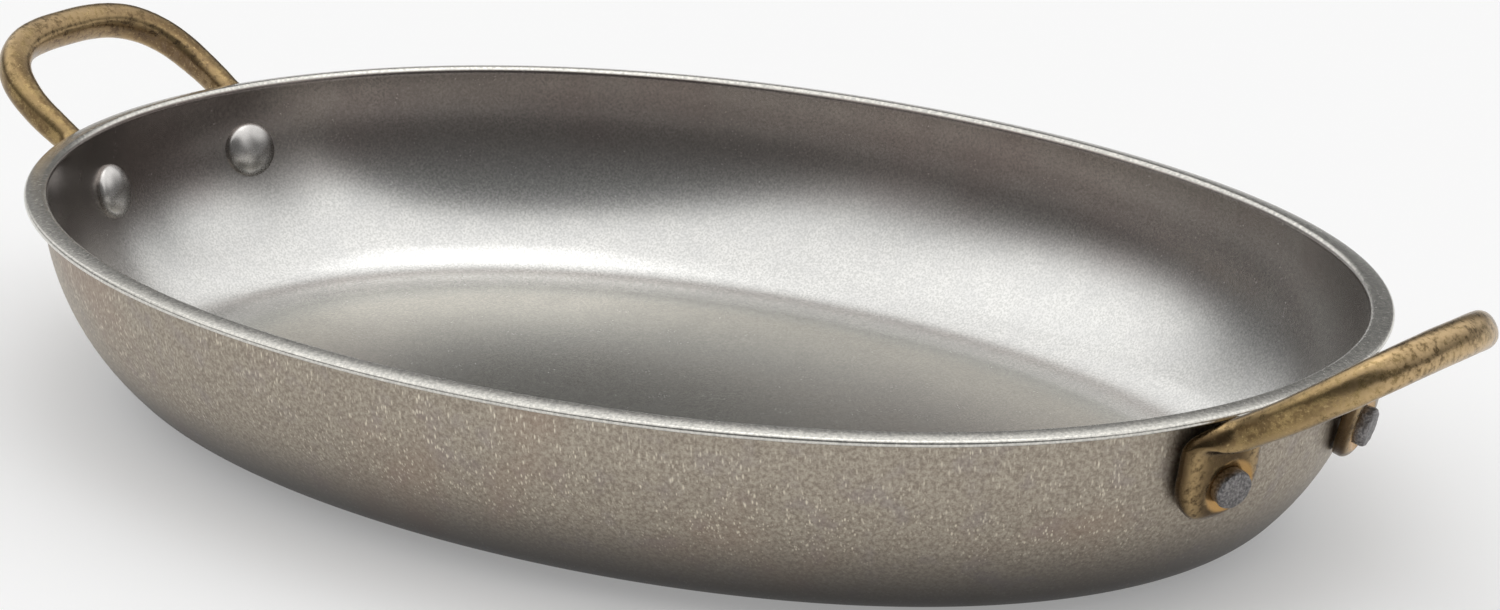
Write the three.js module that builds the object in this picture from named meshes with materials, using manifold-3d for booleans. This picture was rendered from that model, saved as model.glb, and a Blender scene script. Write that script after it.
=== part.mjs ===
// Oval serving dish: a pressed steel pan with a flared lip and two cast brass loop handles,
// each handle held on by two rivets.
// Millimetres, +Z up, the long axis along X, the near side towards -Y.
// Origin: the centre of the flat underside.
import * as THREE from 'three';
import { mergeVertices } from 'three/addons/utils/BufferGeometryUtils.js';
import Module from 'manifold-3d';

const wasm = await Module();
wasm.setup();

// Pan
const rimLength = 280;
const rimWidth = 199;
const rimHeight = 39.4;
const ovalFullness = 0.028; // how far the oval stands outside a true ellipse between its axes
const sheet = 1.2;
const lipWidth = 3.3; // from the wall's outer face to the edge of the lip
const lipBend = 0.4; // radius under the lip
const wallRadius = 49; // outer face of the wall, seen in section
const wallLean = THREE.MathUtils.degToRad(2); // from upright, just under the lip
const cornerRadius = 17.5; // outer face, between the floor and the wall

// Rivets
const rivetSpacing = 40; // between the two rivets of one handle
const rivetDrop = 11.8; // from the lip's underside to where a rivet's axis leaves the wall's outer face
const shankRadius = 2.9;
const headRadius = 5.4;
const headHeight = 3;
const headEdge = 0.5; // upright edge under the dome
const tailRadius = 3.5; // the end that is hammered up outside the handle
const tailProud = 1.5;
const tailChamfer = 0.35;

// Handles
// The bar is measured across the loop's plane (thickness) and within it (width).
const legWidth = 5.2;
const legThickness = 6.0;
const tipWidth = 6.8;
const tipThickness = 7.2;
const barSquareness = 2.3; // 2 is an ellipse, higher fills the corners of the section
const loopReach = 27.2; // bar's centre line, from the end of the rim to the tip, along the loop's plane
const loopTilt = THREE.MathUtils.degToRad(31.5); // how far the loop rises outwards
const loopSquareness = 2.9; // the same for the D that the loop follows
const legSpread = 4.4; // each leg's centre line lies this far outside its rivet where the loop is widest
const legSplay = 1.6; // the legs close by this much towards the pan
const legSag = 0.35; // the legs dip by this much under the loop's plane
const footRadius = 8.6;
const footShift = 1.8; // the foot's round end has its centre this far outside the rivet
const footLift = 1.7; // and this far above it
const footThickness = 3.4;
const footSquareness = 4;
const footRise = 6.0; // how far above the rivet the foot stays flat on the wall
const sinkRadius = 5.5; // polished countersink round the rivet
const sinkDepth = 1.4;

// How the leg bends from the wall out under the lip
const bendAtFoot = 0.5; // share of the bend's length over which it still follows the wall
const bendAtLoop = 0.5; // share of it over which it already follows the loop
const innerNarrowsBy = 0.75; // share of the bend in which the foot's inner side narrows to the bar
const outerNarrowsFrom = 0.1; // share of the bend after which its outer side does
const thickensBy = 1.0; // share of the bend in which the foot thickens to the bar
const loopStartTurn = 0.2; // angle, in radians, into the loop that gives the direction its leg starts in
const bluntEnd = 0.16; // angle, in radians, of the flat that closes the foot's round end

// Fits
const gap = 0.3; // between pieces that touch
const headGap = 0.45; // under a rivet's head, of which the facets of the wall take some
const holeClearance = 0.35;
const lipClearance = 0.5; // between the lip's edge and the bar that passes it

// Facets
const ovalSides = 80;
const cornerSteps = 6;
const wallSteps = 5;
const lipSteps = 3;
const edgeSteps = 4;
const barSides = 16;
const endSteps = 6;
const bendSteps = 8;
const loopSteps = 14;
const roundSides = 20;
const domeSteps = 4;

const panSteel = new THREE.MeshStandardMaterial({ color: 0x8f877c, roughness: 0.5, metalness: 0.9 });
const brass = new THREE.MeshStandardMaterial({ color: 0x9c8455, roughness: 0.45, metalness: 0.9 });
const rivetSteel = new THREE.MeshStandardMaterial({ color: 0x8a8a8c, roughness: 0.4, metalness: 0.9 });

function mix(from, to, share) {
  return from + (to - from) * share;
}

function ease(share) {
  const within = Math.min(1, Math.max(0, share));
  return within * within * (3 - 2 * within);
}

// Conversion between a closed geometry and a solid that can be joined and cut.
function toSolid(geometry) {
  const plain = geometry.clone();
  plain.deleteAttribute('normal');
  plain.deleteAttribute('uv');
  const merged = mergeVertices(plain, 1e-5);
  const vertProperties = Float32Array.from(merged.attributes.position.array);
  const triVerts = Uint32Array.from(merged.index.array);
  return new wasm.Manifold(new wasm.Mesh({ numProp: 3, vertProperties, triVerts }));
}

function toGeometry(solid) {
  const mesh = solid.getMesh();
  const geometry = new THREE.BufferGeometry();
  geometry.setAttribute('position', new THREE.BufferAttribute(Float32Array.from(mesh.vertProperties), 3));
  geometry.setIndex(new THREE.BufferAttribute(Uint32Array.from(mesh.triVerts), 1));
  geometry.computeVertexNormals();
  return geometry;
}

// A point of the rim's outline, moved inwards by inset along the outline's own normal,
// so that every ring of the pan keeps a true distance to the rim.
function ovalPoint(turn, inset) {
  const a = rimLength / 2;
  const b = rimWidth / 2;
  const c = Math.cos(turn);
  const s = Math.sin(turn);
  const x = a * c * (1 + ovalFullness * s * s);
  const y = b * s * (1 + ovalFullness * c * c);
  const dx = -a * s * (1 + ovalFullness * s * s) + 2 * a * ovalFullness * s * c * c;
  const dy = b * c * (1 + ovalFullness * c * c) - 2 * b * ovalFullness * c * s * s;
  const length = Math.hypot(dx, dy);
  const outX = dy / length;
  const outY = -dx / length;
  return { x: x - inset * outX, y: y - inset * outY, outX, outY };
}

// The turn at which the inset oval reaches a given distance from the long axis, near the end on +X.
function turnAt(y, inset) {
  let low = 0;
  let high = Math.PI / 2;
  for (let step = 0; step < 50; step++) {
    const middle = (low + high) / 2;
    if (ovalPoint(middle, inset).y < y) {
      low = middle;
    } else {
      high = middle;
    }
  }
  return (low + high) / 2;
}

// Section of the pan. A slope of 0 is level and a quarter turn is upright. The outer face of the
// corner, then of the wall, is an arc about its own centre, and the lip bends the other way.
const topSlope = Math.PI / 2 - wallLean;
const wallTop = rimHeight - sheet - lipBend * (1 - Math.cos(topSlope));
const joinCosine = (wallTop - cornerRadius + wallRadius * Math.cos(topSlope)) / (wallRadius - cornerRadius);
const joinSlope = Math.acos(joinCosine);
const wallCentre = {
  inset: lipWidth + wallRadius * Math.sin(topSlope),
  z: wallTop + wallRadius * Math.cos(topSlope),
};
const cornerCentre = {
  inset: wallCentre.inset - (wallRadius - cornerRadius) * Math.sin(joinSlope),
  z: cornerRadius,
};
const lipCentre = {
  inset: lipWidth - lipBend * Math.sin(topSlope),
  z: rimHeight - sheet - lipBend,
};

function arc(centre, radius, fromSlope, toSlope, steps, side) {
  const points = [];
  for (let step = 0; step <= steps; step++) {
    const slope = mix(fromSlope, toSlope, step / steps);
    points.push({
      inset: centre.inset - side * radius * Math.sin(slope),
      z: centre.z - side * radius * Math.cos(slope),
    });
  }
  return points;
}

function withoutFirst(points) {
  return points.slice(1);
}

// One face of the sheet, from the floor to the lip: depth is 0 for the outer face, sheet for the inner.
function faceProfile(depth) {
  return [
    ...arc(cornerCentre, cornerRadius - depth, 0, joinSlope, cornerSteps, 1),
    ...withoutFirst(arc(wallCentre, wallRadius - depth, joinSlope, topSlope, wallSteps, 1)),
    ...withoutFirst(arc(lipCentre, lipBend + depth, topSlope, 0, lipSteps, -1)),
  ];
}

function lipEdge() {
  const points = [];
  for (let step = 0; step <= edgeSteps; step++) {
    const angle = Math.PI * (step / edgeSteps);
    points.push({
      inset: sheet / 2 - (sheet / 2) * Math.sin(angle),
      z: rimHeight - sheet / 2 - (sheet / 2) * Math.cos(angle),
    });
  }
  return points;
}

// The pan's skin: rings of the profile round the oval, closed over the floor by a fan on each face.
function panGeometry() {
  const profile = [...faceProfile(0), ...lipEdge(), ...faceProfile(sheet).reverse()];
  const positions = [0, 0, 0];
  for (const { inset, z } of profile) {
    for (let side = 0; side < ovalSides; side++) {
      const point = ovalPoint((side / ovalSides) * 2 * Math.PI, inset);
      positions.push(point.x, point.y, z);
    }
  }
  positions.push(0, 0, sheet);
  const indices = [];
  const last = positions.length / 3 - 1;
  for (let side = 0; side < ovalSides; side++) {
    const next = (side + 1) % ovalSides;
    indices.push(0, 1 + next, 1 + side);
    for (let ring = 0; ring < profile.length - 1; ring++) {
      const low = 1 + ring * ovalSides;
      const high = low + ovalSides;
      indices.push(low + side, low + next, high + side);
      indices.push(low + next, high + next, high + side);
    }
    const top = 1 + (profile.length - 1) * ovalSides;
    indices.push(last, top + side, top + next);
  }
  const geometry = new THREE.BufferGeometry();
  geometry.setAttribute('position', new THREE.Float32BufferAttribute(positions, 3));
  geometry.setIndex(indices);
  return geometry;
}

// The wall's outer face at a height, within its upper arc.
function wallAt(z) {
  const slope = Math.acos((wallCentre.z - z) / wallRadius);
  return { inset: wallCentre.inset - wallRadius * Math.sin(slope), slope };
}

// Where a rivet leaves the outer face, for the end on +X: side is 1 at the back and -1 at the front.
const rivetHeight = rimHeight - sheet - rivetDrop;
const rivetWall = wallAt(rivetHeight);
const rivetTurn = turnAt(rivetSpacing / 2, rivetWall.inset);

function stationOnWall(z, side) {
  const wall = wallAt(z);
  const point = ovalPoint(side * rivetTurn, wall.inset);
  const out = new THREE.Vector3(
    point.outX * Math.sin(wall.slope),
    point.outY * Math.sin(wall.slope),
    -Math.cos(wall.slope),
  );
  const up = new THREE.Vector3(
    point.outX * Math.cos(wall.slope),
    point.outY * Math.cos(wall.slope),
    Math.sin(wall.slope),
  );
  return { point: new THREE.Vector3(point.x, point.y, z), out, up };
}

function turnedTo(geometry, axis, origin) {
  const turn = new THREE.Quaternion().setFromUnitVectors(new THREE.Vector3(0, 1, 0), axis);
  geometry.applyQuaternion(turn);
  geometry.translate(origin.x, origin.y, origin.z);
  return geometry;
}

function revolved(pairs) {
  return new THREE.LatheGeometry(pairs.map(([radius, height]) => new THREE.Vector2(radius, height)), roundSides);
}

// A straight round cutter along the axis of a rivet.
function rivetHole(side, fromHeight, toHeight) {
  const { point, out } = stationOnWall(rivetHeight, side);
  const radius = shankRadius + holeClearance;
  const pairs = [[0, fromHeight], [radius, fromHeight], [radius, toHeight], [0, toHeight]];
  return toSolid(turnedTo(revolved(pairs), out, point));
}

// Rivet, along its own axis: 0 is the wall's outer face, the head lies inside the pan.
// The head stands off by the rise of the hollow wall across it.
const headRise = (headRadius * headRadius) / (2 * (wallRadius - sheet));
const headSeat = -(sheet + headGap + headRise);
const footFace = gap + footThickness;

function sinkCutter(side) {
  const { point, out } = stationOnWall(rivetHeight, side);
  const radius = shankRadius + holeClearance;
  const beyond = sinkDepth; // past the face, so that the cut is clean on the rounded foot
  const widen = (sinkRadius - radius) / sinkDepth;
  const pairs = [
    [0, footFace - sinkDepth],
    [radius, footFace - sinkDepth],
    [sinkRadius + widen * beyond, footFace + beyond],
    [0, footFace + beyond],
  ];
  return toSolid(turnedTo(revolved(pairs), out, point));
}

function rivetGeometry() {
  const rise = headHeight - headEdge;
  const domeRadius = (headRadius * headRadius + rise * rise) / (2 * rise);
  const domeCentre = headSeat - headHeight + domeRadius;
  const widest = Math.asin(headRadius / domeRadius);
  const dome = [];
  for (let step = 0; step <= domeSteps; step++) {
    const angle = widest * (step / domeSteps);
    dome.push([step === 0 ? 0 : domeRadius * Math.sin(angle), domeCentre - domeRadius * Math.cos(angle)]);
  }
  const flareStart = footFace - sinkDepth;
  const flareEnd = flareStart + (tailRadius - shankRadius) * (sinkDepth / (sinkRadius - shankRadius));
  const tip = footFace + tailProud;
  return revolved([
    ...dome,
    [headRadius, headSeat],
    [shankRadius, headSeat],
    [shankRadius, flareStart],
    [tailRadius, flareEnd + gap],
    [tailRadius, tip - tailChamfer],
    [tailRadius - tailChamfer, tip],
    [0, tip],
  ]);
}

// Handle. Every section is a rounded oblong across the path: out points away from the wall
// at the foot and turns to the underside of the loop. The bar passes just below the lip's round edge.
const legY = rivetSpacing / 2 + legSpread;
const loopNormal = new THREE.Vector3(Math.sin(loopTilt), 0, -Math.cos(loopTilt));
const loopOut = new THREE.Vector3(Math.cos(loopTilt), 0, Math.sin(loopTilt));
const lipAtLeg = ovalPoint(turnAt(legY, sheet / 2), sheet / 2);
const passing = sheet / 2 + lipClearance + legThickness / 2;
const passX = lipAtLeg.x + passing * Math.sin(loopTilt);
const passZ = rimHeight - sheet / 2 - passing * Math.cos(loopTilt);
const loopStart = new THREE.Vector3(
  rimLength / 2,
  0,
  passZ + (rimLength / 2 - passX) * Math.tan(loopTilt),
);

// inner and outer are the section's half widths towards the handle's middle and away from it.
function footSection(rise) {
  const foot = stationOnWall(rivetHeight + rise * Math.sin(rivetWall.slope), 1);
  const outboard = new THREE.Vector3().crossVectors(foot.up, foot.out);
  const centre = foot.point
    .clone()
    .addScaledVector(foot.out, gap + footThickness / 2)
    .addScaledVector(outboard, footShift);
  const below = Math.max(0, footLift - rise);
  const half = Math.sqrt(footRadius ** 2 - below ** 2);
  return {
    centre,
    along: foot.up,
    out: foot.out,
    inner: half,
    outer: half,
    halfThick: footThickness / 2,
    power: footSquareness,
  };
}

// The loop's centre line: a quarter turn is where its leg starts at the pan, 0 is the tip.
function loopPoint(angle) {
  const share = Math.cos(angle) ** (2 / loopSquareness);
  const across = (legY - legSplay * (1 - share)) * Math.sin(angle) ** (2 / loopSquareness);
  return loopStart
    .clone()
    .addScaledVector(loopOut, loopReach * share)
    .addScaledVector(loopNormal, legSag * 4 * share * (1 - share))
    .setY(across);
}

// One half of the handle, from the round end of the back foot to the tip of the loop.
function halfHandle() {
  const sections = [];
  for (let step = 0; step <= endSteps; step++) {
    const angle = mix(bluntEnd, Math.PI / 2, step / endSteps);
    sections.push(footSection(footLift - footRadius * Math.cos(angle)));
  }
  sections.push(footSection((footLift + footRise) / 2));
  const foot = footSection(footRise);
  sections.push(foot);

  const loopSide = loopPoint(Math.PI / 2);
  const intoLoop = loopPoint(Math.PI / 2 - loopStartTurn).sub(loopSide).normalize();
  const span = foot.centre.distanceTo(loopSide);
  const bend = new THREE.CubicBezierCurve3(
    foot.centre,
    foot.centre.clone().addScaledVector(foot.along, span * bendAtFoot),
    loopSide.clone().addScaledVector(intoLoop, -span * bendAtLoop),
    loopSide,
  );
  for (let step = 1; step <= bendSteps; step++) {
    const share = step / bendSteps;
    const outerShare = (share - outerNarrowsFrom) / (1 - outerNarrowsFrom);
    sections.push({
      centre: bend.getPoint(share),
      along: bend.getTangent(share),
      out: foot.out.clone().lerp(loopNormal, ease(share)),
      inner: mix(foot.inner, legWidth / 2, ease(share / innerNarrowsBy)),
      outer: mix(foot.outer, legWidth / 2, ease(outerShare)),
      halfThick: mix(foot.halfThick, legThickness / 2, ease(share / thickensBy)),
      power: mix(foot.power, barSquareness, share),
    });
  }

  const nearby = 1e-3; // an angle small enough to give the path's direction
  for (let step = 1; step <= loopSteps; step++) {
    const angle = (Math.PI / 2) * (1 - step / loopSteps);
    const centre = loopPoint(angle);
    const before = loopPoint(Math.min(Math.PI / 2, angle + nearby));
    const after = angle > nearby ? loopPoint(angle - nearby) : loopPoint(nearby).setY(-loopPoint(nearby).y);
    const share = centre.clone().sub(loopStart).dot(loopOut) / loopReach;
    sections.push({
      centre,
      along: after.sub(before).normalize(),
      out: loopNormal.clone(),
      inner: mix(legWidth, tipWidth, share) / 2,
      outer: mix(legWidth, tipWidth, share) / 2,
      halfThick: mix(legThickness, tipThickness, share) / 2,
      power: barSquareness,
    });
  }
  return sections;
}

function mirrored(section) {
  const flip = new THREE.Vector3(1, -1, 1);
  return {
    ...section,
    centre: section.centre.clone().multiply(flip),
    along: section.along.clone().multiply(flip).negate(),
    out: section.out.clone().multiply(flip),
  };
}

function sectionRing({ centre, along, out, inner, outer, halfThick, power }) {
  const outward = out.clone().addScaledVector(along, -out.dot(along) / along.lengthSq()).normalize();
  const across = new THREE.Vector3().crossVectors(outward, along).normalize();
  const ring = [];
  for (let side = 0; side < barSides; side++) {
    const angle = (side / barSides) * 2 * Math.PI;
    const c = Math.cos(angle);
    const s = Math.sin(angle);
    const wide = Math.sign(c) * Math.abs(c) ** (2 / power) * (c > 0 ? inner : outer);
    const thick = Math.sign(s) * Math.abs(s) ** (2 / power) * halfThick;
    ring.push(centre.clone().addScaledVector(across, wide).addScaledVector(outward, thick));
  }
  return ring;
}

function lofted(rings) {
  const positions = [];
  const indices = [];
  for (const ring of rings) {
    for (const point of ring) {
      positions.push(point.x, point.y, point.z);
    }
  }
  const sides = rings[0].length;
  for (let ring = 0; ring < rings.length - 1; ring++) {
    for (let side = 0; side < sides; side++) {
      const next = (side + 1) % sides;
      const low = ring * sides;
      const high = low + sides;
      indices.push(low + side, low + next, high + side);
      indices.push(low + next, high + next, high + side);
    }
  }
  const top = (rings.length - 1) * sides;
  for (let side = 1; side < sides - 1; side++) {
    indices.push(0, side + 1, side);
    indices.push(top, top + side, top + side + 1);
  }
  const geometry = new THREE.BufferGeometry();
  geometry.setAttribute('position', new THREE.Float32BufferAttribute(positions, 3));
  geometry.setIndex(indices);
  return geometry;
}

function handleGeometry() {
  const half = halfHandle();
  const otherHalf = half.slice(0, -1).reverse().map(mirrored);
  const rings = [...half, ...otherHalf].map(sectionRing);
  let solid = toSolid(lofted(rings));
  for (const side of [1, -1]) {
    solid = solid.subtract(rivetHole(side, -gap, footFace + gap)).subtract(sinkCutter(side));
  }
  return toGeometry(solid);
}

function panWithHoles() {
  let solid = toSolid(panGeometry());
  const end = new THREE.Matrix4().makeRotationZ(Math.PI);
  for (const side of [1, -1]) {
    const hole = rivetHole(side, -2 * sheet, sheet);
    const opposite = toGeometry(hole).applyMatrix4(end);
    solid = solid.subtract(hole).subtract(toSolid(opposite));
  }
  return toGeometry(solid);
}

function named(name, geometry, material) {
  const mesh = new THREE.Mesh(geometry, material);
  mesh.name = name;
  return mesh;
}

function riveted(name, side) {
  const { point, out } = stationOnWall(rivetHeight, side);
  const rivet = named(name, rivetGeometry(), rivetSteel);
  rivet.quaternion.setFromUnitVectors(new THREE.Vector3(0, 1, 0), out);
  rivet.position.copy(point);
  return rivet;
}

// One end of the dish: a handle and its two rivets, made for +X and turned round for -X.
function endOf(name, turn, backSide) {
  const end = new THREE.Group();
  end.add(named(`handle_${name}`, handleGeometry(), brass));
  end.add(riveted(`rivet_${name}_back`, backSide));
  end.add(riveted(`rivet_${name}_front`, -backSide));
  end.rotation.z = turn;
  return end;
}

const group = new THREE.Group();
group.add(named('dish_body', panWithHoles(), panSteel));
group.add(endOf('right', 0, 1));
group.add(endOf('left', Math.PI, -1));

export default group;
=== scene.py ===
import math

import bmesh
import bpy
from mathutils import Matrix, Vector, noise


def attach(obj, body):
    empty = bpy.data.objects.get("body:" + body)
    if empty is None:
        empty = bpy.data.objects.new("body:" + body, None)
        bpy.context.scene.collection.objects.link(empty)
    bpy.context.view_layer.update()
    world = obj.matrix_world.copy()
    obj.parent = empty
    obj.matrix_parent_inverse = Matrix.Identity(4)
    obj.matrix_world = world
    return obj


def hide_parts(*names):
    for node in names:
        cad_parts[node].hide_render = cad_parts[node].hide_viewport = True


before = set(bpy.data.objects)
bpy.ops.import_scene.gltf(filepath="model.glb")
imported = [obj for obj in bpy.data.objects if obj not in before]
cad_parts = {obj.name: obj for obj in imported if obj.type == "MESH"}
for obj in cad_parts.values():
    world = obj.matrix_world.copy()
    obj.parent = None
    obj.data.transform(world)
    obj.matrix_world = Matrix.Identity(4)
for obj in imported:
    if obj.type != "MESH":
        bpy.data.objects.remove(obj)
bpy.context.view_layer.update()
print("frame loaded:", len(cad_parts), "nodes")

mm = 0.001
quarterTurn = math.pi / 2
sharpAngle = math.radians(38)


def mix(start, end, share):
    return start + (end - start) * share


def ease(share):
    share = min(1.0, max(0.0, share))
    return share * share * (3 - 2 * share)


def smoothed(mesh):
    mesh.shade_smooth()
    mesh.set_sharp_from_angle(angle=sharpAngle)


def finished(name, bm, material, node):
    mesh = bpy.data.meshes.new(name)
    bm.to_mesh(mesh)
    bm.free()
    piece = bpy.data.objects.new(name, mesh)
    bpy.context.scene.collection.objects.link(piece)
    mesh.materials.append(material)
    smoothed(mesh)
    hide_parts(node)
    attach(piece, "root")
    return piece


# Shader maths: a Wire is one output in a node tree, and sums of wires add their own nodes.
class Wire:
    def __init__(self, recipe, socket):
        self.recipe = recipe
        self.socket = socket

    def math(self, operation, first, second=0.0):
        return self.recipe.node("ShaderNodeMath", {"operation": operation}, {0: first, 1: second})

    def __add__(self, other):
        return self.math("ADD", self, other)

    def __sub__(self, other):
        return self.math("SUBTRACT", self, other)

    def __rsub__(self, other):
        return self.math("SUBTRACT", other, self)

    def __mul__(self, other):
        return self.math("MULTIPLY", self, other)

    __radd__ = __add__
    __rmul__ = __mul__

    def above(self, low, high):
        values = {"Value": self, "From Min": low, "From Max": high}
        return self.recipe.node("ShaderNodeMapRange", {"interpolation_type": "SMOOTHSTEP"}, values)


class Recipe:
    def __init__(self, name, tree=None):
        if tree is None:
            self.material = bpy.data.materials.new(name)
            self.material.use_nodes = True
            tree = self.material.node_tree
        self.tree = tree
        self.tree.nodes.clear()

    def node(self, kind, settings=None, values=None, output=0):
        made = self.tree.nodes.new(kind)
        for key, value in (settings or {}).items():
            setattr(made, key, value)
        for key, value in (values or {}).items():
            if isinstance(value, Wire):
                self.tree.links.new(value.socket, made.inputs[key])
            else:
                made.inputs[key].default_value = value
        return Wire(self, made.outputs[output]) if made.outputs else None

    def vector(self, operation, first, second=(0, 0, 0), output=0):
        return self.node("ShaderNodeVectorMath", {"operation": operation}, {0: first, 1: second}, output)

    def coordinate(self, vector, number):
        return self.node("ShaderNodeSeparateXYZ", None, {0: vector}, number)

    def place(self, scale=(1, 1, 1), turn=(0, 0, 0)):
        spot = self.node("ShaderNodeTexCoord", output="Object")
        return self.node("ShaderNodeMapping", None, {"Vector": spot, "Scale": scale, "Rotation": turn})

    def noise(self, where, size, detail=3, roughness=0.5):
        values = {"Vector": where, "Scale": 1 / size, "Detail": detail, "Roughness": roughness}
        return self.node("ShaderNodeTexNoise", {"noise_dimensions": "3D"}, values)

    def cells(self, where, size):
        return self.node("ShaderNodeTexVoronoi", None, {"Vector": where, "Scale": 1 / size}, "Distance")

    def tint(self, share, low, high, kind="MIX"):
        settings = {"data_type": "RGBA", "blend_type": kind}
        return self.node("ShaderNodeMix", settings, {0: share, 6: asColor(low), 7: asColor(high)}, 2)

    def attribute(self, name):
        return self.node("ShaderNodeAttribute", {"attribute_name": name}, output="Fac")

    def metal(self, color, roughness, height, depth):
        bump = self.node("ShaderNodeBump", None, {"Height": height, "Distance": depth, "Strength": 1.0})
        values = {"Base Color": color, "Metallic": 1.0, "Roughness": roughness, "Normal": bump}
        shader = self.node("ShaderNodeBsdfPrincipled", None, values)
        self.node("ShaderNodeOutputMaterial", None, {"Surface": shader})
        return self.material


def asColor(value):
    return value if isinstance(value, Wire) else (*value, 1)


def srgb(red, green, blue):
    return tuple(((c / 255 + 0.055) / 1.055) ** 2.4 for c in (red, green, blue))


# The pan
pan = {
    "halfLength": 140 * mm,
    "halfWidth": 99.5 * mm,
    "height": 39.4 * mm,
    "fullness": 0.028,  # how far the oval stands outside an ellipse between its axes
    "sheet": 1.2 * mm,
    "lipWidth": 3.3 * mm,
    "lipDroop": 0.18,  # slope of the lip, down towards its edge
    "droopPivot": 0.4,  # share of the lip's width about which it is tilted
    "lipFade": 0.25 * mm,  # how far below its top the lip's finish ends
    "underBend": 0.4 * mm,  # below the lip
    "innerBend": 1.3 * mm,  # where the lip turns down into the pan
    "wallRadius": 49 * mm,
    "wallLean": math.radians(2),
    "cornerRadius": 17.5 * mm,
    "sides": 288,
    "cornerSteps": 14,
    "outerWallSteps": 16,
    "innerWallSteps": 18,
    "underBendSteps": 4,
    "innerBendSteps": 6,
    "edgeSteps": 12,
    "undersideRings": (0.05, 0.35, 0.7),  # shares of the flat oval, from the middle out
    "floorRings": (0.98, 0.96, 0.92, 0.86, 0.8, 0.7, 0.35, 0.05),  # and from the corner in
}


def ovalPoint(turn, inset, height):
    c = math.cos(turn)
    s = math.sin(turn)
    k = pan["fullness"]
    a = pan["halfLength"]
    b = pan["halfWidth"]
    dx = -a * s * (1 + k * s * s) + 2 * a * k * s * c * c
    dy = b * c * (1 + k * c * c) - 2 * b * k * c * s * s
    out = Vector((dy, -dx, 0)).normalized()
    return Vector((a * c * (1 + k * s * s), b * s * (1 + k * c * c), height)) - out * inset, out


topSlope = quarterTurn - pan["wallLean"]
lipUnderside = pan["height"] - pan["sheet"]
wallTop = lipUnderside - pan["underBend"] * (1 - math.cos(topSlope))
wallCentre = (
    pan["lipWidth"] + pan["wallRadius"] * math.sin(topSlope),
    wallTop + pan["wallRadius"] * math.cos(topSlope),
)
radiusStep = pan["wallRadius"] - pan["cornerRadius"]
joinSlope = math.acos((wallCentre[1] - pan["cornerRadius"]) / radiusStep)
cornerCentre = (wallCentre[0] - radiusStep * math.sin(joinSlope), pan["cornerRadius"])


def arc(centre, radius, fromSlope, toSlope, steps):
    points = []
    for step in range(steps + 1):
        slope = mix(fromSlope, toSlope, step / steps)
        points.append((centre[0] - radius * math.sin(slope), centre[1] - radius * math.cos(slope)))
    return points


# The section as (inset, height) points: up the outer face, round the lip's edge and down the inner face.
# An arc's slope is 0 below its centre, a quarter turn beside it on the rim's side and a half turn above it.
def panSection():
    sheet = pan["sheet"]
    half = sheet / 2
    lip = pan["lipWidth"]
    bend = pan["underBend"]
    inner = pan["innerBend"]
    outerFace = arc(cornerCentre, pan["cornerRadius"], 0, joinSlope, pan["cornerSteps"])
    outerFace += arc(wallCentre, pan["wallRadius"], joinSlope, topSlope, pan["outerWallSteps"])[1:]
    outerFace += arc((lip - bend, lipUnderside - bend), -bend, quarterTurn, 0, pan["underBendSteps"])
    edge = arc((half, pan["height"] - half), half, 0, math.pi, pan["edgeSteps"])
    turnDown = arc((0, pan["height"] - inner), inner, math.pi, quarterTurn, pan["innerBendSteps"])
    innerFace = [(lip + sheet - inner - inset, height) for inset, height in turnDown]
    innerFace += arc(wallCentre, pan["wallRadius"] - sheet, topSlope, joinSlope, pan["innerWallSteps"])
    innerFace += arc(cornerCentre, pan["cornerRadius"] - sheet, joinSlope, 0, pan["cornerSteps"])[1:]
    return [[drooped(point) for point in part] for part in (outerFace, edge, innerFace)]


def drooped(point):
    inset, height = point
    pivot = pan["lipWidth"] * pan["droopPivot"]
    fall = min(pivot, max(pivot - pan["lipWidth"], pivot - inset))
    if height < wallTop:
        fall = 0
    return inset, height - pan["lipDroop"] * fall


def placeRing(verts, turnLayer, inset, height, share):
    for vert in verts:
        point = ovalPoint(vert[turnLayer], inset, height)[0]
        vert.co = Vector((point.x * share, point.y * share, height))


def extrudedRing(bm, edges):
    made = bmesh.ops.extrude_edge_only(bm, edges=edges)["geom"]
    verts = [g for g in made if isinstance(g, bmesh.types.BMVert)]
    loop = [g for g in made if isinstance(g, bmesh.types.BMEdge) and all(v in set(verts) for v in g.verts)]
    return verts, loop


# Each edge once, in an order that is the same in every run
def edgesOf(verts):
    return list(dict.fromkeys(edge for vert in verts for edge in vert.link_edges))


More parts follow.
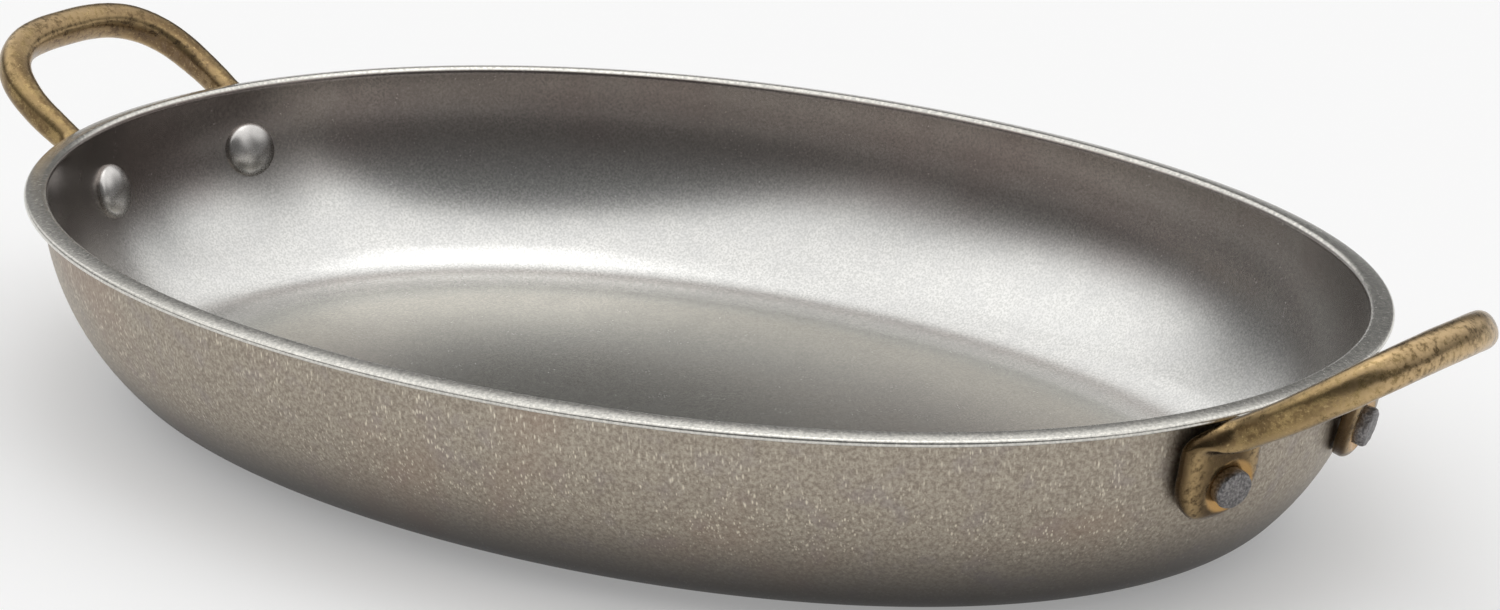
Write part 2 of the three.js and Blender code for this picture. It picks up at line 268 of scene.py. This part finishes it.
def panMesh():
    bm = bmesh.new()
    turnLayer = bm.verts.layers.float.new("turn")
    insideLayer = bm.verts.layers.float.new("inside")
    lipLayer = bm.verts.layers.float.new("lip")
    middleLayer = bm.verts.layers.float.new("middle")
    start = bmesh.ops.create_circle(bm, segments=pan["sides"], radius=1)["verts"]
    for vert in start:
        vert[turnLayer] = math.atan2(vert.co.y, vert.co.x)
    outerFace, edge, innerFace = panSection()
    flatInset = cornerCentre[0]
    lipEnd = pan["height"] - pan["lipFade"]
    stations = [(flatInset, 0.0, share, 0, 0) for share in pan["undersideRings"]]
    stations += [(inset, z, 1.0, 0, 0) for inset, z in outerFace]
    stations += [(inset, z, 1.0, 0, 1) for inset, z in edge]
    stations += [(inset, z, 1.0, 1, int(z > lipEnd)) for inset, z in innerFace]
    stations += [(flatInset, pan["sheet"], share, 1, 0) for share in pan["floorRings"]]
    ring = start
    loop = edgesOf(start)
    ends = []
    for number, (inset, height, share, inside, lip) in enumerate(stations):
        if number > 0:
            ring, loop = extrudedRing(bm, loop)
        placeRing(ring, turnLayer, inset, height, share)
        for vert in ring:
            vert[insideLayer] = inside
            vert[lipLayer] = lip
            vert[middleLayer] = (1 - share) * inside
        if number in (0, len(stations) - 1):
            ends.append(loop)
    for loop in ends:
        cap = bmesh.ops.edgeloop_fill(bm, edges=loop)["faces"]
        bmesh.ops.poke(bm, faces=cap)
    bmesh.ops.recalc_face_normals(bm, faces=bm.faces)
    return bm


print("pan section: floor edge", round(cornerCentre[0] / mm, 1), "mm from the rim")

# Handles and rivets, for the end on +X
rivet = {
    "spacing": 40 * mm,
    "height": 26.4 * mm,
    "shankRadius": 2.9 * mm,
    "headRadius": 5.4 * mm,
    "headHeight": 2.5 * mm,
    "headEdge": 0.35 * mm,  # upright edge under the dome
    "headGap": 0.1 * mm,
    "domeSteps": 14,
    "tailRadius": 3.5 * mm,
    "tailProud": 1.5 * mm,
    "tailSunk": 1.0 * mm,  # how deep the hammered end starts in the countersink
    "tailSwell": 1.03,  # share to which hammering has swollen it
    "swellDepth": 0.7 * mm,  # from its tip to where it is widest
    "bevelDepth": 0.25 * mm,  # and to where it turns in
    "tailBevel": 0.3 * mm,
    "endRings": (0.75, 0.55, 0.35, 0.15, 0),
    "hammering": 0.12 * mm,
    "hammerWave": 1100,  # per metre
    "hammerShift": 7,  # so that an end's two rivets have different dents
    "sides": 48,
}
handle = {
    "legWidth": 5.2 * mm,
    "tipWidth": 6.8 * mm,
    "legThickness": 6.0 * mm,
    "tipThickness": 7.2 * mm,
    "barSquareness": 2.3,
    "reach": 27.15 * mm,
    "tilt": math.radians(31.5),
    "sag": 0.35 * mm,  # the legs dip by this much under the loop's plane
    "loopSquareness": 2.9,
    "legSpread": 4.4 * mm,
    "legSplay": 1.6 * mm,  # the legs close by this much towards the pan
    "footShift": 1.8 * mm,  # the foot's middle lies this far outside its rivet
    "footLift": 1.7 * mm,  # and this far above it
    "footRadius": 8.6 * mm,
    "footThickness": 3.4 * mm,
    "footFront": 2.6,  # squareness of the foot's outer face, then of the face on the wall
    "footBack": 6,
    "footRise": 6.0 * mm,
    "footEdge": 2.6 * mm,  # rounding of the foot's round end
    "bluntEnd": 0.07,  # angle, in radians, of the flat that closes it
    "bendReach": 0.5,  # share of the bend's length that pulls each of its ends straight
    "innerNarrowsBy": 0.75,  # share of the bend in which the foot's inner side narrows to the bar
    "outerNarrowsFrom": 0.1,  # share of the bend after which its outer side does
    "thickensBy": 0.7,  # share of the bend in which the foot thickens to the bar
    "loopStartTurn": 0.2,  # angle, in radians, into the loop that gives the direction its leg starts in
    "sinkRadius": 5.5 * mm,
    "sinkDepth": 1.4 * mm,
    "gap": 0.3 * mm,
    "lipClearance": 0.5 * mm,
    "footSteps": 20,
    "straightRings": (0.33, 0.67),  # shares of the way up the foot's straight part
    "bendSteps": 24,
    "loopSteps": 56,
    "sides": 48,
    "sinkSides": 96,
    "slowWave": 160,  # unevenness of the casting: waves per metre, and depths
    "slowDepth": 0.1 * mm,
    "fineWave": 900,
    "fineDepth": 0.03 * mm,
    "skin": 0.07 * mm,  # how far the surface is drawn in, so that its highest points stay in place
    "wearAndSheenSharpness": 4,  # how closely the wear and the painted edge highlight keep to the bar's four corners
    "footDarkening": 1.5,  # how soon the foot's darker brown sets in as the bar widens to it
}


def wallAt(height):
    slope = math.acos((wallCentre[1] - height) / pan["wallRadius"])
    return wallCentre[0] - pan["wallRadius"] * math.sin(slope), slope


# The oval's angle at a distance from the long axis, found by halving
def turnAt(y, inset):
    low = 0.0
    high = quarterTurn
    halvings = 50
    for _ in range(halvings):
        middle = (low + high) / 2
        if ovalPoint(middle, inset, 0)[0].y < y:
            low = middle
        else:
            high = middle
    return (low + high) / 2


rivetInset, rivetSlope = wallAt(rivet["height"])
rivetTurn = turnAt(rivet["spacing"] / 2, rivetInset)


def stationOnWall(height):
    inset, slope = wallAt(height)
    point, level = ovalPoint(rivetTurn, inset, height)
    upright = Vector((0, 0, 1))
    out = level * math.sin(slope) - upright * math.cos(slope)
    up = level * math.cos(slope) + upright * math.sin(slope)
    return point, out, up


legY = rivet["spacing"] / 2 + handle["legSpread"]
halfLeg = handle["legWidth"] / 2
loopNormal = Vector((math.sin(handle["tilt"]), 0, -math.cos(handle["tilt"])))
loopOut = Vector((math.cos(handle["tilt"]), 0, math.sin(handle["tilt"])))
halfSheet = pan["sheet"] / 2
lipAtLeg = ovalPoint(turnAt(legY, halfSheet), halfSheet, 0)[0]
passing = halfSheet + handle["lipClearance"] + handle["legThickness"] / 2
passX = lipAtLeg.x + passing * math.sin(handle["tilt"])
passZ = pan["height"] - halfSheet - passing * math.cos(handle["tilt"])
loopStart = Vector((pan["halfLength"], 0, passZ + (pan["halfLength"] - passX) * math.tan(handle["tilt"])))


def section(centre, along, out, inner, outer, thickness, front, back):
    return {"centre": centre, "along": along, "out": out, "inner": inner, "outer": outer,
            "thickness": thickness, "front": front, "back": back}


def footSection(rise):
    point, out, up = stationOnWall(rivet["height"] + rise * math.sin(rivetSlope))
    radius = handle["footRadius"]
    edge = handle["footEdge"]
    below = max(0.0, handle["footLift"] - rise)
    thickness = handle["footThickness"]
    if below > radius - edge:
        thickness -= edge - math.sqrt(max(0.0, edge ** 2 - (below - radius + edge) ** 2))
    centre = point + out * (handle["gap"] + thickness / 2) + up.cross(out) * handle["footShift"]
    half = math.sqrt(radius ** 2 - below ** 2)
    return section(centre, up, out, half, half, thickness, handle["footFront"], handle["footBack"])


def loopPoint(angle):
    power = 2 / handle["loopSquareness"]
    share = math.cos(angle) ** power
    across = (legY - handle["legSplay"] * (1 - share)) * math.sin(angle) ** power
    sag = handle["sag"] * 4 * share * (1 - share)
    return loopStart + loopOut * handle["reach"] * share + loopNormal * sag + Vector((0, across, 0))


def bezier(points, share):
    rest = 1 - share
    a, b, c, d = points
    spot = a * rest ** 3 + b * 3 * rest ** 2 * share + c * 3 * rest * share ** 2 + d * share ** 3
    along = (b - a) * rest ** 2 + (c - b) * 2 * rest * share + (d - c) * share ** 2
    return spot, along


def halfHandle():
    sections = []
    for step in range(handle["footSteps"] + 1):
        turn = mix(handle["bluntEnd"], quarterTurn, step / handle["footSteps"])
        sections.append(footSection(handle["footLift"] - handle["footRadius"] * math.cos(turn)))
    for share in handle["straightRings"]:
        sections.append(footSection(mix(handle["footLift"], handle["footRise"], share)))
    foot = footSection(handle["footRise"])
    sections.append(foot)
    loopSide = loopPoint(quarterTurn)
    intoLoop = (loopPoint(quarterTurn - handle["loopStartTurn"]) - loopSide).normalized()
    pull = (foot["centre"] - loopSide).length * handle["bendReach"]
    bend = (foot["centre"], foot["centre"] + foot["along"] * pull, loopSide - intoLoop * pull, loopSide)
    square = handle["barSquareness"]
    late = handle["outerNarrowsFrom"]
    for step in range(1, handle["bendSteps"] + 1):
        share = step / handle["bendSteps"]
        centre, along = bezier(bend, share)
        out = foot["out"].lerp(loopNormal, ease(share))
        inner = mix(foot["inner"], halfLeg, ease(share / handle["innerNarrowsBy"]))
        outer = mix(foot["outer"], halfLeg, ease((share - late) / (1 - late)))
        thickness = mix(foot["thickness"], handle["legThickness"], ease(share / handle["thickensBy"]))
        front = mix(foot["front"], square, share)
        back = mix(foot["back"], square, ease(share * 2))
        sections.append(section(centre, along, out, inner, outer, thickness, front, back))
    nudge = 0.001
    for step in range(1, handle["loopSteps"] + 1):
        angle = quarterTurn * (1 - step / handle["loopSteps"])
        centre = loopPoint(angle)
        along = loopPoint(max(0.0, angle - nudge)) - loopPoint(min(quarterTurn, angle + nudge))
        if step == handle["loopSteps"]:
            along = Vector((0, -1, 0))
        share = (centre - loopStart).dot(loopOut) / handle["reach"]
        half = mix(halfLeg, handle["tipWidth"] / 2, share)
        thickness = mix(handle["legThickness"], handle["tipThickness"], share)
        sections.append(section(centre, along, loopNormal, half, half, thickness, square, square))
    return sections


def mirrored(one):
    centre, along, out = [Vector((v.x, -v.y, v.z)) for v in (one["centre"], one["along"], one["out"])]
    return {**one, "centre": centre, "along": -along, "out": out}


def sectionPoint(one, angle):
    along = one["along"].normalized()
    outward = (one["out"] - along * one["out"].dot(along)).normalized()
    across = outward.cross(along)
    c = math.cos(angle)
    s = math.sin(angle)
    power = 2 / (one["front"] if s > 0 else one["back"])
    wide = math.copysign(abs(c) ** power, c) * one["inner" if c > 0 else "outer"]
    thick = math.copysign(abs(s) ** power, s) * one["thickness"] / 2
    return one["centre"] + across * wide + outward * thick


rivetPoint, rivetAxis, _ = stationOnWall(rivet["height"])
footFace = handle["gap"] + handle["footThickness"]  # the foot's outer face, along the rivet from the wall


# A cone that cuts one foot's countersink, and stands as far out of the foot as it reaches in
def sinkCutter(side):
    bm = bmesh.new()
    depth = handle["sinkDepth"]
    narrow = rivet["shankRadius"]
    wide = 2 * handle["sinkRadius"] - narrow
    below = footFace - depth
    above = footFace + depth
    spinProfile(bm, [(0, below), (narrow, below), (wide, above), (0, above)], handle["sinkSides"])
    standOn(bm, rivetPoint, rivetAxis)
    if side < 0:
        bmesh.ops.scale(bm, vec=(1, -1, 1), verts=bm.verts)
    bmesh.ops.recalc_face_normals(bm, faces=bm.faces)
    mesh = bpy.data.meshes.new("sinkCutter")
    bm.to_mesh(mesh)
    bm.free()
    cutter = bpy.data.objects.new("sinkCutter", mesh)
    bpy.context.scene.collection.objects.link(cutter)
    return cutter


def spinProfile(bm, profile, sides):
    verts = [bm.verts.new((radius, 0, height)) for radius, height in profile]
    edges = [bm.edges.new(pair) for pair in zip(verts, verts[1:])]
    bmesh.ops.spin(bm, geom=verts + edges, cent=(0, 0, 0), axis=(0, 0, 1), angle=2 * math.pi, steps=sides,
                   use_merge=True)
    weldDistance = 0.001 * mm
    bmesh.ops.remove_doubles(bm, verts=bm.verts, dist=weldDistance)


def standOn(bm, point, axis):
    turn = Vector((0, 0, 1)).rotation_difference(axis).to_matrix().to_4x4()
    bmesh.ops.transform(bm, matrix=Matrix.Translation(point) @ turn, verts=bm.verts)


def handleMesh():
    half = halfHandle()
    sections = half + [mirrored(one) for one in reversed(half[:-1])]
    bm = bmesh.new()
    angleLayer = bm.verts.layers.float.new("angle")
    wearAndSheenLayer = bm.verts.layers.float.new("wearAndSheen")
    innerLayer = bm.verts.layers.float.new("inner")
    footLayer = bm.verts.layers.float.new("foot")
    ring = bmesh.ops.create_circle(bm, segments=handle["sides"], radius=1)["verts"]
    for vert in ring:
        vert[angleLayer] = math.atan2(vert.co.y, vert.co.x)
    loop = edgesOf(ring)
    first = loop
    footDarkening = handle["footDarkening"] / (handle["footRadius"] - halfLeg)
    for number, one in enumerate(sections):
        if number > 0:
            ring, loop = extrudedRing(bm, loop)
        for vert in ring:
            vert.co = sectionPoint(one, vert[angleLayer])
            # wear and a painted edge highlight at the bar's corners
            vert[wearAndSheenLayer] = abs(math.sin(2 * vert[angleLayer])) ** handle["wearAndSheenSharpness"]
            # the inner side, darkened by the finish as painted shade
            vert[innerLayer] = max(0.0, math.cos(vert[angleLayer]))
            vert[footLayer] = ease((one["outer"] - halfLeg) * footDarkening)
    for ends in (first, loop):
        bmesh.ops.edgeloop_fill(bm, edges=ends)
    bmesh.ops.recalc_face_normals(bm, faces=bm.faces)
    bm.normal_update()
    for vert in bm.verts:
        slow = noise.noise(vert.co * handle["slowWave"]) * handle["slowDepth"]
        fine = noise.noise(vert.co * handle["fineWave"]) * handle["fineDepth"]
        vert.co += vert.normal * (slow + fine - handle["skin"])
    return bm


def cutSinks(piece):
    cutters = [sinkCutter(side) for side in (1, -1)]
    for cutter in cutters:
        cut = piece.modifiers.new("sink", "BOOLEAN")
        cut.operation = "DIFFERENCE"
        cut.solver = "EXACT"
        cut.object = cutter
    bpy.context.view_layer.update()
    shaped = bpy.data.meshes.new_from_object(piece.evaluated_get(bpy.context.evaluated_depsgraph_get()))
    piece.modifiers.clear()
    piece.data = shaped
    for cutter in cutters:
        bpy.data.objects.remove(cutter)


# A rivet's profile as (radius, height) points, from dome to hammered end, with heights from the wall
def rivetProfile():
    seat = -(pan["sheet"] + rivet["headGap"])
    radius = rivet["headRadius"]
    shank = rivet["shankRadius"]
    dome = rivet["headHeight"] - rivet["headEdge"]
    profile = []
    for step in range(rivet["domeSteps"] + 1):
        turn = quarterTurn * step / rivet["domeSteps"]
        profile.append((radius * math.sin(turn), seat - rivet["headEdge"] - dome * math.cos(turn)))
    profile += [(radius, seat), (shank, seat)]
    tip = footFace + rivet["tailProud"]
    tail = rivet["tailRadius"]
    swollen = tail * rivet["tailSwell"]
    bevel = rivet["tailBevel"]
    profile += [(shank, footFace - handle["sinkDepth"]), (tail, footFace - rivet["tailSunk"])]
    profile += [(mix(tail, swollen, 2 / 3), footFace), (swollen, tip - rivet["swellDepth"])]
    profile += [(tail, tip - rivet["bevelDepth"]), (tail - bevel, tip - bevel / 10)]
    profile += [(tail * share, tip) for share in rivet["endRings"]]
    return profile


def rivetMesh(side):
    bm = bmesh.new()
    spinProfile(bm, rivetProfile(), rivet["sides"])
    bmesh.ops.recalc_face_normals(bm, faces=bm.faces)
    bm.normal_update()
    apart = Vector((side * rivet["hammerShift"], 0, 0))
    for vert in bm.verts:
        if vert.co.z > footFace:
            dent = noise.noise(vert.co * rivet["hammerWave"] + apart)
            vert.co += vert.normal * rivet["hammering"] * dent
    standOn(bm, rivetPoint, rivetAxis)
    return bm


def turnedEnd(bm, end, side):
    if side < 0:
        bmesh.ops.scale(bm, vec=(1, -1, 1), verts=bm.verts)
        bmesh.ops.reverse_faces(bm, faces=bm.faces)
    if end < 0:
        bmesh.ops.rotate(bm, matrix=Matrix.Rotation(math.pi, 3, "Z"), verts=bm.verts)
    return bm


# Finishes

# The pan's steel: speckled and scratched outside, with painted glints and painted shade at its foot, and
# brighter, cooler and finer inside, with painted shade and a painted reflection
def steelFinish():
    r = Recipe("panSteel")
    inside = r.attribute("inside")
    lip = r.attribute("lip")
    spot = r.place()
    height = r.coordinate(spot, 2)
    clouds = r.noise(spot, 24 * mm, 3, 0.5)
    patches = r.noise(spot, 6 * mm, 3, 0.55)
    grain = r.noise(spot, 0.7 * mm, 4, 0.7)
    fine = r.noise(spot, 0.45 * mm, 2, 0.6)
    # towards the foot: less speckle, and the painted shade of the outside
    low = 1 - height.above(2 * mm, 20 * mm)
    # the upper strip of the outside, where the painted glints gather
    glintBand = height.above(9 * mm, 20 * mm) * (0.4 + clouds.above(0.38, 0.58) * 0.6)
    scratchGlints = 0  # short scratches in three directions, painted lighter as glints
    stretch = (1, 1, 0.3)
    for size, turn in ((0.6, (0.5, 0.3, 0.4)), (0.75, (-0.6, -0.4, 1.9)), (0.95, (0.2, -0.5, 3.0))):
        strokes = 1 - r.cells(r.place(stretch, turn), size * mm).above(0.06, 0.3)
        scratchGlints = strokes * r.noise(spot, 4 * size * mm).above(0.44, 0.56) + scratchGlints

    outside = r.tint(grain.above(0.3, 0.7), srgb(141, 130, 118), srgb(188, 179, 164))
    outside = r.tint(low * 0.7, outside, srgb(160, 151, 140))  # less speckle towards its foot
    outside = r.tint(patches.above(0.5, 0.75) * 0.35, outside, srgb(152, 143, 144))
    outside = r.tint(clouds.above(0.5, 0.75) * 0.4, outside, srgb(163, 139, 123))  # rusty clouds
    # painted glints: the scratches lightened a little everywhere and most in the upper strip
    outside = r.tint(scratchGlints * (glintBand * 0.9 + 0.08), outside, srgb(228, 219, 200))
    outside = r.tint(low * 0.9, outside, srgb(124, 129, 138), "MULTIPLY")  # painted shade: darker and cooler at its foot

    # painted shade on the upper inner wall, tinted in rosy clouds and left off at the right end as painted
    # light
    wallShade = height.above(14 * mm, 27 * mm)
    within = r.tint(fine.above(0.35, 0.65), srgb(205, 205, 202), srgb(231, 230, 227))
    within = r.tint(patches.above(0.35, 0.7) * 0.25, within, srgb(203, 203, 203))
    litRightEnd = r.coordinate(spot, 0).above(20 * mm, 120 * mm)
    within = r.tint(wallShade * (1 - litRightEnd), within, srgb(206, 199, 196), "MULTIPLY")
    rosy = clouds.above(0.4, 0.7) * 0.3
    within = r.tint(wallShade * rosy, within, srgb(232, 214, 214), "MULTIPLY")
    # painted shade, deepest towards the rim
    within = r.tint(height.above(22 * mm, 36 * mm), within, srgb(216, 212, 210), "MULTIPLY")
    middle = r.attribute("middle")  # 0 at the corner, rising towards the middle of the floor
    # painted shade over the floor, warm near its edge as a painted reflection of the lit corner, and cooler
    # and darker in its middle as painted shade
    within = r.tint(middle.above(-0.01, 0.04), within, srgb(218, 218, 214), "MULTIPLY")
    within = r.tint(middle.above(0.02, 0.12), within, srgb(255, 251, 247), "MULTIPLY")
    within = r.tint(middle.above(0.12, 0.45), within, srgb(240, 244, 248), "MULTIPLY")
    edgeColor = r.tint(grain.above(0.3, 0.7), srgb(190, 188, 182), srgb(230, 227, 219))
    color = r.tint(inside, outside, within)
    color = r.tint(lip, color, edgeColor)

    roughOutside = 0.4 + grain * 0.14 - scratchGlints * 0.1
    roughInside = 0.2 + fine * 0.06 + patches * 0.05
    rough = roughOutside * (1 - inside) + roughInside * inside
    rough = rough * (1 - lip) + (0.22 + grain * 0.08) * lip
    relief = (grain * 0.5 + fine * 0.25 + scratchGlints * 0.3) * (1 - low * 0.5)
    relief = relief * (1 - inside) * (1 - lip * 0.7) + fine * inside * 0.06
    return r.metal(color, rough, relief, 0.035 * mm)


# The cast brass: brown in its hollows and feet, olive gold on top with painted shade on its inner side,
# lighter on its edges as wear and painted edge highlight, with painted glints at its tip, and polished in
# its countersinks
def brassFinish():
    r = Recipe("agedBrass")
    spot = r.place()
    clouds = r.noise(spot, 8 * mm, 3, 0.55)
    mottles = r.noise(spot, 1.3 * mm, 4, 0.65)
    pits = r.noise(spot, 0.5 * mm, 3, 0.6)
    hollows = 1 - r.cells(spot, 1.0 * mm).above(0.1, 0.32)
    hollows = hollows * r.noise(spot, 3.1 * mm).above(0.48, 0.6)
    wearAndSheen = r.attribute("wearAndSheen") * mottles.above(0.3, 0.6)
    inner = r.attribute("inner")
    color = r.tint(clouds.above(0.35, 0.65), srgb(108, 90, 63), srgb(153, 131, 90))
    # painted shade: the inner side darker brown-mauve
    color = r.tint(inner * 0.5, color, srgb(112, 92, 80))
    color = r.tint(mottles.above(0.42, 0.62) * 0.7, color, srgb(98, 78, 54))
    color = r.tint(pits.above(0.56, 0.74) * 0.55, color, srgb(204, 178, 130))
    color = r.tint(hollows * 0.3, color, srgb(72, 58, 44))
    color = r.tint(r.attribute("foot") * 0.85, color, srgb(74, 59, 41))  # the foot's brown
    # the edges lighter, partly wear and partly a painted edge highlight
    color = r.tint(wearAndSheen * 0.5, color, srgb(214, 184, 134))
    mirroredSpot = r.vector("ABSOLUTE", spot)
    # painted glints: lighter gold flecks at the bar's tip
    tip = r.coordinate(mirroredSpot, 0).above(152 * mm, 168 * mm)
    color = r.tint(tip * mottles.above(0.35, 0.6) * 0.75, color, srgb(206, 178, 136))
    arm = r.vector("SUBTRACT", mirroredSpot, tuple(rivetPoint))
    radial = r.vector("LENGTH", r.vector("CROSS_PRODUCT", arm, tuple(rivetAxis)), output="Value")
    sink = 1 - radial.above(handle["sinkRadius"] - 0.9 * mm, handle["sinkRadius"] + 0.1 * mm)
    color = r.tint(sink, color, srgb(184, 146, 92))
    rough = (0.22 + mottles * 0.12 + hollows * 0.12) * (1 - sink) + 0.26 * sink
    relief = (mottles * 0.6 + pits * 0.3 - hollows * 0.2) * (1 - sink)
    return r.metal(color, rough, relief, 0.05 * mm)


# The rivets' steel: pale smooth heads inside, dark rough ends outside
def rivetFinish():
    r = Recipe("rivetSteel")
    spot = r.place()
    grain = r.noise(spot, 0.5 * mm, 3, 0.6)
    cloud = r.noise(spot, 3 * mm, 3, 0.6)
    arm = r.vector("SUBTRACT", r.vector("ABSOLUTE", spot), tuple(rivetPoint))
    along = r.vector("DOT_PRODUCT", arm, tuple(rivetAxis), "Value")
    tail = along.above(handle["gap"], handle["gap"] + 0.5 * mm)
    head = r.tint(cloud.above(0.3, 0.7), srgb(196, 193, 190), srgb(214, 211, 208))
    hammered = r.tint(grain.above(0.35, 0.7), srgb(100, 98, 98), srgb(156, 153, 152))
    color = r.tint(tail, head, hammered)
    rough = 0.25 + grain * 0.05 + tail * 0.22
    return r.metal(color, rough, grain * tail + grain * 0.02, 0.12 * mm)


steel = steelFinish()
brass = brassFinish()
rivetSteel = rivetFinish()
print("finishes made")

finished("pan", panMesh(), steel, "dish_body")
print("pan made")
for endName, end in (("right", 1), ("left", -1)):
    grip = finished(f"grip_{endName}", handleMesh(), brass, f"handle_{endName}")
    cutSinks(grip)
    smoothed(grip.data)
    if end < 0:
        grip.data.transform(Matrix.Rotation(math.pi, 4, "Z"))
    for sideName, side in (("back", end), ("front", -end)):
        bm = turnedEnd(rivetMesh(side), end, side)
        finished(f"pin_{endName}_{sideName}", bm, rivetSteel, f"rivet_{endName}_{sideName}")
print("handles and rivets made")

# Studio
studio = {
    "azimuth": 0.68302,
    "elevation": 0.30902,
    "aimAzimuth": -0.01233,
    "aimElevation": -0.00133,
    "roll": 0.0076,
    "distance": 1.00631,
    "aimHeight": 0.02364,
    "focalPixels": 5383.99,
    "framePixels": 1500,
    "sensorWidth": 36,
    "farthest": 20,
    "floorHalf": 4,
    "floorColor": (0.98, 0.98, 0.98),
    "floorWhite": 0.28,
    "fill": 0.14,
    "skylight": (0.1, 0.3),  # upward part of a direction over which the canopy fades in
    "horizon": (0.05, 0.12),  # and over which the white horizon ends
    "canopyBearing": 121,
    "canopyLevel": 1.18,
    "canopyFront": (-0.64, -0.48),  # where the canopy fades in over the camera's side
    "canopyBack": (0.74, 0.87),  # and out behind the dish
    "canopySide": (0.6, 0.92),
}
overhead = {"spot": (-0.1, 0.12, 1.25), "size": (0.7, 0.7), "level": 0.6}


# The one lamp, turned towards the dish: at level 1 its face is as bright as a white background.
def overheadLamp():
    lamp = bpy.data.lights.new("overhead", "AREA")
    lamp.shape = "RECTANGLE"
    lamp.size, lamp.size_y = overhead["size"]
    lamp.energy = overhead["level"] * math.pi * lamp.size * lamp.size_y
    lampObject = bpy.data.objects.new("overhead", lamp)
    bpy.context.scene.collection.objects.link(lampObject)
    lampObject.location = overhead["spot"]
    lampObject.rotation_euler = (-lampObject.location).to_track_quat("-Z", "Y").to_euler()


# The floor is pale, and a share of it is plain white to the camera and in reflections.
def floorPiece():
    bm = bmesh.new()
    bmesh.ops.create_grid(bm, x_segments=1, y_segments=1, size=studio["floorHalf"])
    mesh = bpy.data.meshes.new("floor")
    bm.to_mesh(mesh)
    bm.free()
    floor = bpy.data.objects.new("floor", mesh)
    bpy.context.scene.collection.objects.link(floor)
    r = Recipe("paleFloor")
    plain = r.node("ShaderNodeBsdfDiffuse", None, {"Color": asColor(studio["floorColor"])})
    white = r.node("ShaderNodeEmission", None, {"Color": (1, 1, 1, 1), "Strength": 1.0})
    seen = 0
    for kind in ("Camera", "Glossy", "Transmission"):
        seen = r.node("ShaderNodeLightPath", output=f"Is {kind} Ray") + seen
    shader = r.node("ShaderNodeMixShader", None, {0: seen * studio["floorWhite"], 1: plain, 2: white})
    r.node("ShaderNodeOutputMaterial", None, {"Surface": shader})
    mesh.materials.append(r.material)


# Brighter parts of the sky, in degrees: bearing from +X towards +Y, height, half width and soft edge
softLights = (
    {"bearing": 129, "height": 76, "half": 8, "edge": 20, "level": 1.35},
    {"bearing": 208, "height": 40, "half": 5, "edge": 26, "level": 1.35},
    {"bearing": 42, "height": 40, "half": 5, "edge": 26, "level": 1.05},
)


def directionTo(bearing, height):
    level = math.cos(height)
    return math.cos(bearing) * level, math.sin(bearing) * level, math.sin(height)


# The sky: dim, with a broad canopy, a few soft lights and a white horizon
def studioWorld():
    world = bpy.data.worlds.new("studio")
    bpy.context.scene.world = world
    world.use_nodes = True
    r = Recipe("studio", world.node_tree)
    direction = r.node("ShaderNodeTexCoord", output="Generated")
    canopy = math.radians(studio["canopyBearing"])
    climb = r.vector("DOT_PRODUCT", direction, (0, 0, 1), "Value")
    away = r.vector("DOT_PRODUCT", direction, directionTo(canopy, 0), "Value")
    side = r.vector("DOT_PRODUCT", direction, directionTo(canopy - quarterTurn, 0), "Value")
    side = side.math("ABSOLUTE", side)
    lit = away.above(*studio["canopyFront"]) * (1 - away.above(*studio["canopyBack"]))
    lit = lit * (1 - side.above(*studio["canopySide"])) * climb.above(*studio["skylight"])
    level = studio["fill"] + lit * (studio["canopyLevel"] - studio["fill"])
    for light in softLights:
        axis = directionTo(math.radians(light["bearing"]), math.radians(light["height"]))
        near = r.vector("DOT_PRODUCT", direction, axis, "Value")
        inner = math.cos(math.radians(light["half"]))
        outer = math.cos(math.radians(light["half"] + light["edge"]))
        level = level.math("MAXIMUM", level, near.above(outer, inner) * light["level"])
    horizon = 1 - climb.above(*studio["horizon"])
    level = level * (1 - horizon) + horizon
    sky = r.node("ShaderNodeBackground", None, {"Color": (1, 1, 1, 1), "Strength": level})
    r.node("ShaderNodeOutputWorld", None, {"Surface": sky})


# The camera, fitted to the photo: it circles the dish by its azimuth from -Y, and looks a little past it.
def photoCamera():
    lens = bpy.data.cameras.new("camera")
    lens.sensor_width = studio["sensorWidth"]
    lens.lens = studio["focalPixels"] / studio["framePixels"] * studio["sensorWidth"]
    lens.clip_end = studio["farthest"]
    camera = bpy.data.objects.new("camera", lens)
    bpy.context.scene.collection.objects.link(camera)
    azimuth = studio["azimuth"]
    elevation = studio["elevation"]
    back = Vector(directionTo(azimuth - quarterTurn, elevation))
    turn = Matrix.Rotation(azimuth + studio["aimAzimuth"], 4, "Z")
    tilt = Matrix.Rotation(quarterTurn - elevation - studio["aimElevation"], 4, "X")
    roll = Matrix.Rotation(studio["roll"], 4, "Z")
    spot = Vector((0, 0, studio["aimHeight"])) + back * studio["distance"]
    camera.matrix_world = Matrix.Translation(spot) @ turn @ tilt @ roll
    bpy.context.scene.camera = camera


floorPiece()
studioWorld()
overheadLamp()
photoCamera()
bpy.context.scene.view_settings.view_transform = "Standard"
print("studio made")
